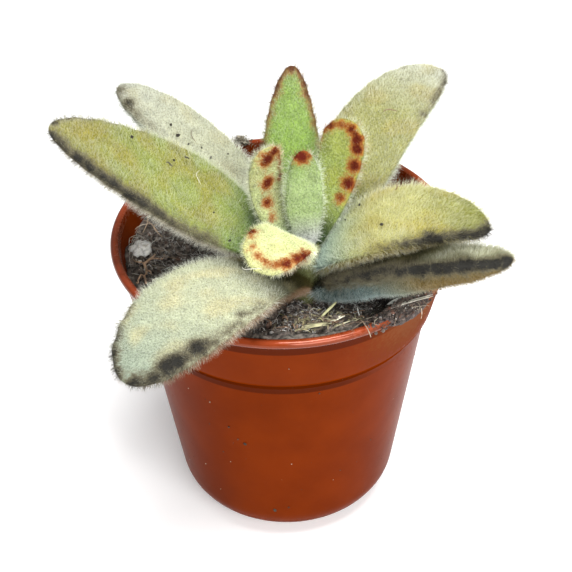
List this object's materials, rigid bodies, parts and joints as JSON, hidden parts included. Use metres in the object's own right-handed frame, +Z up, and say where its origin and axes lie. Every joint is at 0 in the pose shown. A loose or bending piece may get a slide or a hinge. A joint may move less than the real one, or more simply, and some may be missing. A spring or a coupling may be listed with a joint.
{
  "type": "potted succulent",
  "caption": "Panda plant with thick felted spoon-shaped leaves in crossed pairs, standing in a round tapered nursery pot filled with peat.",
  "frame": {"origin": "centre of the pot's flat underside", "axes": "+Z up along the pot's axis; the stem stands off that axis towards -Y, which is the plant's front, and +X is to the right when the front is faced"},
  "size_m": [0.0684, 0.0722, 0.0753],
  "materials": {
    "terracotta_plastic": "semi-gloss moulded plastic, terracotta orange",
    "peat": "rough dark brown peat",
    "bark": "woolly green-brown stem",
    "felt_leaf": "matte silver-green felt, chocolate spots along the outer margin",
    "perlite": "chalky white",
    "straw": "dry pale straw and root chips"
  },
  "bodies": {
    "root": {"pot": "terracotta_plastic", "peat": "peat", "stem": "bark", "leaf_right_lower": "felt_leaf", "leaf_back_left": "felt_leaf", "leaf_front_left": "felt_leaf", "leaf_back_right": "felt_leaf", "leaf_right_upper": "felt_leaf", "leaf_left": "felt_leaf", "leaf_back_centre": "felt_leaf", "leaf_inner_front": "felt_leaf", "leaf_inner_left": "felt_leaf", "leaf_inner_right": "felt_leaf", "leaf_inner_centre": "felt_leaf", "straw_long": "straw", "straw_short": "straw", "straw_pale": "straw", "straw_front": "straw", "straw_back": "straw", "root_left": "straw", "perlite_lump": "perlite"}
  },
  "joints": []
}
